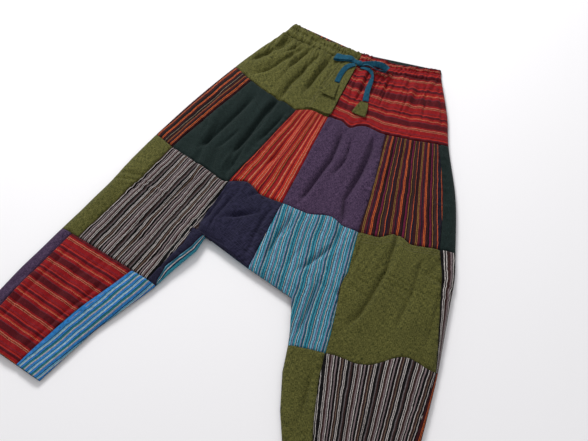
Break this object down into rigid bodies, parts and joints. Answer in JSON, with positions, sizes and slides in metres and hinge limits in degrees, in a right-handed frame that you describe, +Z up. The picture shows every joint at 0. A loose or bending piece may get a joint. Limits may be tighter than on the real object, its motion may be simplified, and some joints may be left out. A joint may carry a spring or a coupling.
{
  "type": "hippie trousers",
  "caption": "Wide harem trousers pieced from mixed cloth panels, laid flat, with a gathered elastic waist, a fly flap and a bow-tied drawstring.",
  "frame": {"origin": "on the surface the trousers lie on, under the middle of their length and width", "axes": "+X across the trousers to the right as seen from above, +Y from the hems to the waist, +Z up from the surface they lie on"},
  "size_m": [0.82, 0.9396, 0.0232],
  "materials": {
    "olive": "slubby plain weave",
    "crimson": "striped weave, gathered",
    "red_stripe": "striped weave",
    "bottle_green": "plain weave",
    "maroon_stripe": "striped weave",
    "purple": "heathered plain weave",
    "burgundy_stripe": "striped weave",
    "navy": "plain weave",
    "mono_stripe": "black, white and brown stripes",
    "turquoise_stripe": "striped weave",
    "bright_blue": "striped weave",
    "teal_tape": "cotton tape"
  },
  "bodies": {
    "root": {"band_front_left": "olive", "yoke_front_left": "olive", "band_front_right": "crimson", "yoke_front_right": "crimson", "band_back_left": "maroon_stripe", "yoke_back_left": "maroon_stripe", "band_back_right": "bottle_green", "yoke_back_right": "bottle_green", "row1_left_front_inner": "red_stripe", "row1_left_front_outer": "bottle_green", "row1_left_side": "maroon_stripe", "row1_left_back_inner": "purple", "row2_left_front_inner": "navy", "row2_left_front_outer": "mono_stripe", "row2_left_side": "olive", "row2_left_back_inner": "turquoise_stripe", "row3_left_front_inner": "bright_blue", "row3_left_front_outer": "crimson", "row3_left_side": "purple", "row3_left_back_inner": "bottle_green", "row1_right_front_inner": "purple", "row1_right_front_outer": "burgundy_stripe", "row1_right_side": "bottle_green", "row1_right_back_inner": "red_stripe", "row2_right_front_inner": "turquoise_stripe", "row2_right_front_outer": "olive", "row2_right_side": "mono_stripe", "row2_right_back_inner": "navy", "row3_right_front_inner": "olive", "row3_right_front_outer": "mono_stripe", "row3_right_side": "maroon_stripe", "row3_right_back_inner": "bottle_green", "fly_flap": "olive", "drawstring_knot": "teal_tape", "drawstring_loop_left": "teal_tape", "drawstring_loop_right": "teal_tape", "drawstring_tail_left": "teal_tape", "drawstring_tail_right": "teal_tape", "drawstring_tip_left": "olive", "drawstring_tip_right": "olive"}
  },
  "joints": []
}
